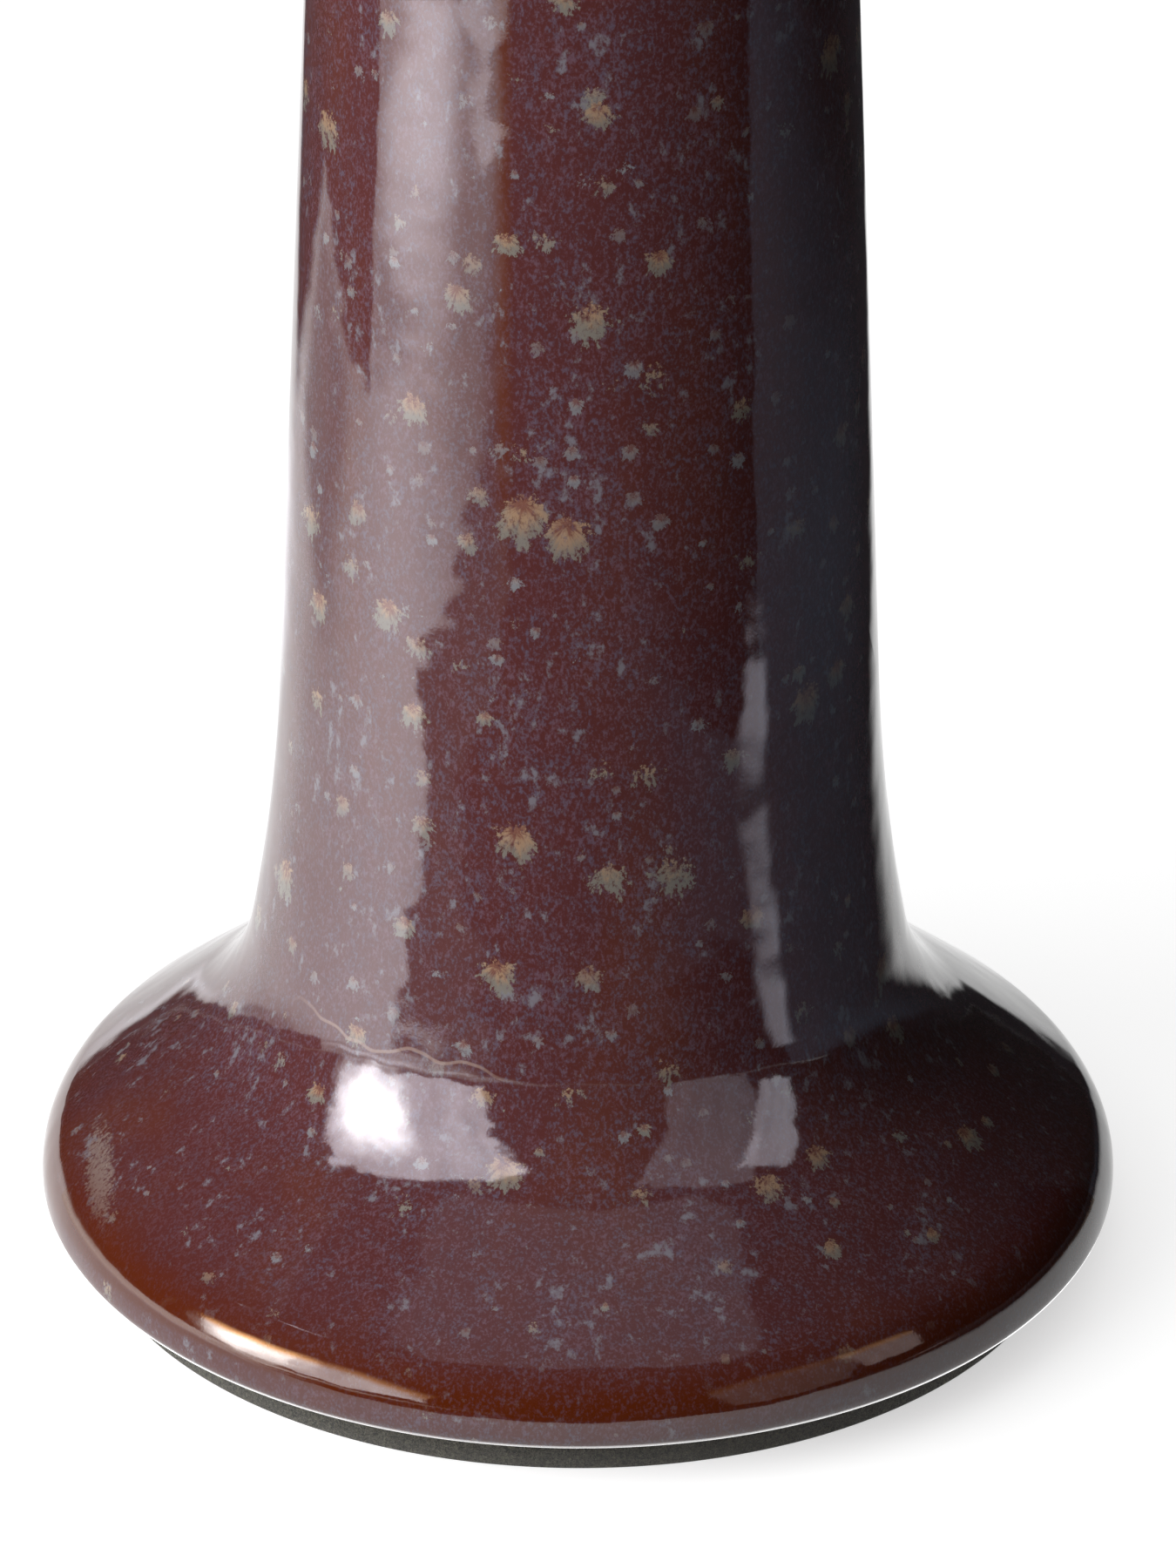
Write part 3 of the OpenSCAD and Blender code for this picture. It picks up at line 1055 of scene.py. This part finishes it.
# %% Pools of window light on the floor at the left
floor_card("pool_main", (-654, -328), (650, 425), 38, 0.1, "#f8f6ff", 2.2, (0.1, 0.3), True)
floor_card("pool_core", (-565, -273), (610, 386), 81, 0.15, "#f4f4ff", 3.6, (0.5, 0.5), True)
floor_card("pool_near", (-252, -115), (320, 400), 6, 0.2, "#f8f6ff", 2.4, (0.12, 0.5), True)
floor_card("pool_back", (-95, 195), (170, 130), 0, 0.22, "#f4f4ff", 0.6, (0.4, 0.4), True)
floor_card("pool_far", (-490, -570), (250, 260), 0, 0.25, "#f8f6ff", 2.8, (0.12, 0.25), True)

# %% [markdown]
# The rolled edge of the foot mirrors the floor just beside and under it, which is bright paper.
# A disc a little smaller than the foot stands for that.

# %% Light from the paper under the rim
under_rim_radius = 64.5
under_rim_lift = 0.3
under_rim_glow = 2.1

pick_nothing()
bpy.ops.mesh.primitive_circle_add(
    vertices=128, radius=under_rim_radius * MM, location=(0, 0, under_rim_lift * MM),
    fill_type="NGON",
)
under_rim = bpy.context.object
under_rim.name = "pool_under_rim"
under_rim.data.materials.append(
    card_material("pool_under_rim", "#ffffff", under_rim_glow, added=True)
)
only_in_reflections(under_rim)

# %% [markdown]
# Where the glaze looks deep and dark it mirrors something dark. Screens from black to light grey
# lie on the rest of the floor for that. At the right one bluish grey card and one small bright
# gap lie among them, where the foot has a soft sheen and a highlight.

# %% Screens on the floor
floor_card("screen_left", (-1385, 485), (2000, 1000), 0, 0.4, "#ffffff", 0.05)
floor_card("screen_left_back", (-1150, 1230), (2000, 2000), 0, 0.45, "#ffffff", 0.05, (0.02, 0.02))
floor_card("screen_left_near", (-300, 150), (200, 230), 0, 0.42, "#ffffff", 0.7, (0.25, 0.3))
floor_card("screen_front", (917, -1128), (2165, 2000), 0, 0.5, "#ffffff", 0)
floor_card("screen_front_left", (-100, -435), (440, 620), -24, 0.55, "#ffffff", 0, (0.24, 0))
floor_card("screen_front_step", (-186, -232), (92, 208), 0, 0.58, "#ffffff", 0.3, (0.12, 0))
floor_card("screen_front_far", (700, -1570), (2120, 2000), 0, 0.6, "#ffffff", 0)
floor_card("screen_right", (2092, -20), (4000, 340), 0, 0.65, "#f4f2ff", 0.03, (0.01, 0))
floor_card("screen_right_back", (2100, 1645), (4000, 3000), 0, 0.66, "#f4f2ff", 0.03, (0.01, 0))
floor_card("screen_right_near", (1115, -1009), (2300, 1200), -17.6, 0.75, "#ffffff", 0)

# %% The grey card and the bright gap at the right
floor_card("grey_right", (1249, -413), (2500, 840), -17.6, 0.7, "#bcdcff", 0.28, (0.08, 0.5), True)
floor_card("gap_right", (220, -105), (90, 58), -8, 0.8, "#f2f0ff", 2.1, (0.42, 0.3), True)

# %% [markdown]
# The window itself stands at the left, with a bright core where the sky shows in it, and two
# dimmer panes stand at the right. The stem mirrors them as tall narrow stripes. They are placed
# by compass: degrees round from the front, degrees up, and millimetres away.

# %% Window, its bright core and the panes at the right
standing_card("window_left", -54, 27, 1300, (1300, 1230), "#f6f4ff", 6.2, (0.05, 0.04), 0.3)
standing_card("window_core", -68, 21, 1250, (700, 1200), "#fbfaff", 26, (0.5, 0.4), 0.3)
standing_card("pane_right", 42, 27, 1300, (640, 1350), "#f4f2ff", 0.95, (0.03, 0.03), 0.25)
standing_card("pane_right_bright", 64, 26, 1280, (340, 950), "#f4f2ff", 2.8, (0.05, 0.05), 0.25)

# %% [markdown]
# ## A ring that paints the highlight on the edge of the foot
# Seen from the rolled edge, a low ring of gauze, which only reflections see, covers the upper part
# of the window, so that the painted highlight on the edge is a thin line. The gauze is clear at its
# bottom and turns through amber to black on the way up, which paints the line's warm upper side.
# From the middle rightwards the black starts 4 mm lower, and at the right end, where all of the
# gauze is smoked, 6 mm higher again.

# %% Gauze
clear_up_to = 13.4
black_from = 16.4
lower_by = 4
higher_by = 6

gauze = empty_material("painted_highlight_gauze")
tree = gauze.node_tree
gauze_place = node(tree, "ShaderNodeNewGeometry").outputs["Position"]
gauze_split = node(tree, "ShaderNodeSeparateXYZ", links={0: gauze_place})
closing = node(tree, "ShaderNodeMapRange", SMOOTH,
               {"From Min": -33 * MM, "From Max": -13 * MM},
               {"Value": gauze_split.outputs["X"]}).outputs[0]
smoked = node(tree, "ShaderNodeMapRange", SMOOTH,
              {"From Min": 5 * MM, "From Max": 30 * MM},
              {"Value": gauze_split.outputs["X"]}).outputs[0]
lowered = node(tree, "ShaderNodeMath", {"operation": "MULTIPLY_ADD"}, {1: lower_by * MM},
               {0: closing, 2: gauze_split.outputs["Z"]}).outputs[0]
gauze_level = node(tree, "ShaderNodeMath", {"operation": "MULTIPLY_ADD"},
                   {1: -higher_by * MM}, {0: smoked, 2: lowered}).outputs[0]
gauze_depth = node(tree, "ShaderNodeMapRange", {},
                   {"From Min": clear_up_to * MM, "From Max": black_from * MM},
                   {"Value": gauze_level}).outputs[0]
thin_gauze = node(tree, "ShaderNodeMix", COLOURS,
                  {6: paint("#fffaef"), 7: paint("#bcada0")}, {0: smoked}).outputs[2]
amber_part = node(tree, "ShaderNodeMapRange", SMOOTH, {"From Min": 0, "From Max": 0.6},
                  {"Value": gauze_depth}).outputs[0]
black_part = node(tree, "ShaderNodeMapRange", SMOOTH, {"From Min": 0.35, "From Max": 1},
                  {"Value": gauze_depth}).outputs[0]
# Painted highlight colour: the amber upper fringe of the highlight on the rim
painted_amber_fringe = node(tree, "ShaderNodeMix", COLOURS, {7: paint("#e1ad73")},
                   {0: amber_part, 6: thin_gauze}).outputs[2]
dark_gauze = node(tree, "ShaderNodeMix", COLOURS, {7: paint("#000000")},
                  {0: black_part, 6: painted_amber_fringe}).outputs[2]
veil = node(tree, "ShaderNodeBsdfTransparent", links={"Color": dark_gauze})
node(tree, "ShaderNodeOutputMaterial", links={"Surface": veil.outputs[0]})

# %% The ring of gauze, cut away behind
shade_radius = 70
shade_height = 18.6
shade_middle = 18.7
shade_ends_at = -12

pick_nothing()
bpy.ops.mesh.primitive_cylinder_add(
    vertices=128, radius=shade_radius * MM, depth=shade_height * MM,
    location=(0, 0, shade_middle * MM), end_fill_type="NOTHING",
)
shade = bpy.context.object
shade.name = "painted_rim_highlight_ring"
bpy.ops.object.mode_set(mode="EDIT")
bpy.ops.mesh.select_all(action="SELECT")
bpy.ops.mesh.bisect(
    plane_co=(0, shade_ends_at * MM, 0), plane_no=(0, 1, 0), clear_outer=True
)
bpy.ops.object.mode_set(mode="OBJECT")
shade.data.materials.append(gauze)
only_in_reflections(shade)

# %% The panel overhead
panel_width = 1400
panel_height = 1500
panel_glow = 0.45

pick_nothing()
bpy.ops.mesh.primitive_plane_add(size=panel_width * MM, location=(0, 0, panel_height * MM))
panel = bpy.context.object
panel.name = "panel_overhead"
panel.data.materials.append(
    card_material("panel_overhead", "#f0f0ff", panel_glow, (0.03, 0.03))
)
only_in_reflections(panel)

# %% [markdown]
# ## Lamps
# The cards light nothing, so two lamps do: a square window light from the front left, which casts
# the soft shadow, and a faint one overhead. The glaze doesn't mirror the lamps themselves,
# because the cards are already there for that.

# %% Lamps
lamps_aim_at = 80


def lamp(name, azimuth, rise, away, width, power):
    spot = round_the_vase(azimuth, rise, away)
    data = bpy.data.lights.new(name, "AREA")
    data.shape = "SQUARE"
    data.size = width * MM
    data.energy = power
    made = bpy.data.objects.new(name, data)
    bpy.context.scene.collection.objects.link(made)
    made.location = spot
    towards = spot - Vector((0, 0, lamps_aim_at * MM))
    made.rotation_euler = towards.to_track_quat("Z", "Y").to_euler()
    made.visible_camera = False
    made.visible_glossy = False


lamp("lamp_window", -58, 27, 1200, 900, 16.2)
lamp("lamp_overhead", 0, 80, 1500, 1200, 0.4)
print("lamps:", len(bpy.data.lights), "meshes in the scene:", len(bpy.data.meshes))
